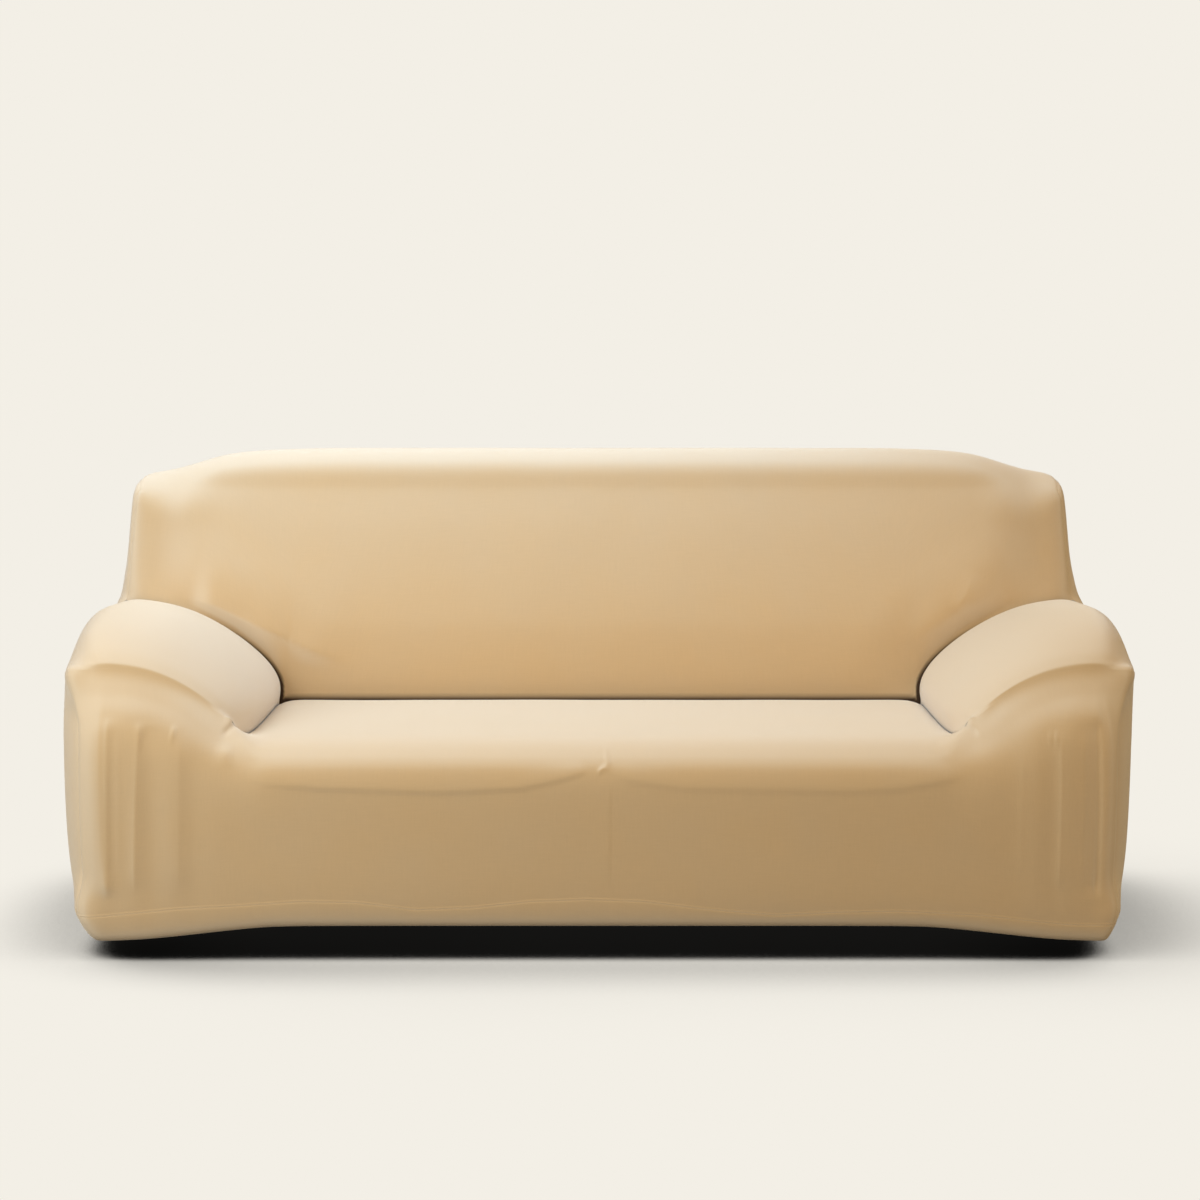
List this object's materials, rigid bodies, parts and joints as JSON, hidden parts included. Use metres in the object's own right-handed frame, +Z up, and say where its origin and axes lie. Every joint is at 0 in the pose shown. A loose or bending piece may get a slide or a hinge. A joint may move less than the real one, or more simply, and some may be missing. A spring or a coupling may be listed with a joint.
{
  "type": "sofa slipcover",
  "caption": "Fitted stretch slipcover in the shape of its wide sofa: hollow inside, with seat, back, padded arms and an arched elastic hem.",
  "frame": {"origin": "centre of the cover in plan, at the height of the hem's lowest points", "axes": "+X along the sofa's width, to the right as seen from the front; -Y is the front; +Z up"},
  "size_m": [2.0744, 0.8811, 0.8706],
  "materials": {
    "knit": "fine golden-beige stretch knit with a faint sheen"
  },
  "bodies": {
    "root": {"seat_front": "knit", "inside_back": "knit", "outside_back": "knit", "arm_left": "knit", "arm_right": "knit", "side_left": "knit", "side_right": "knit"}
  },
  "joints": []
}
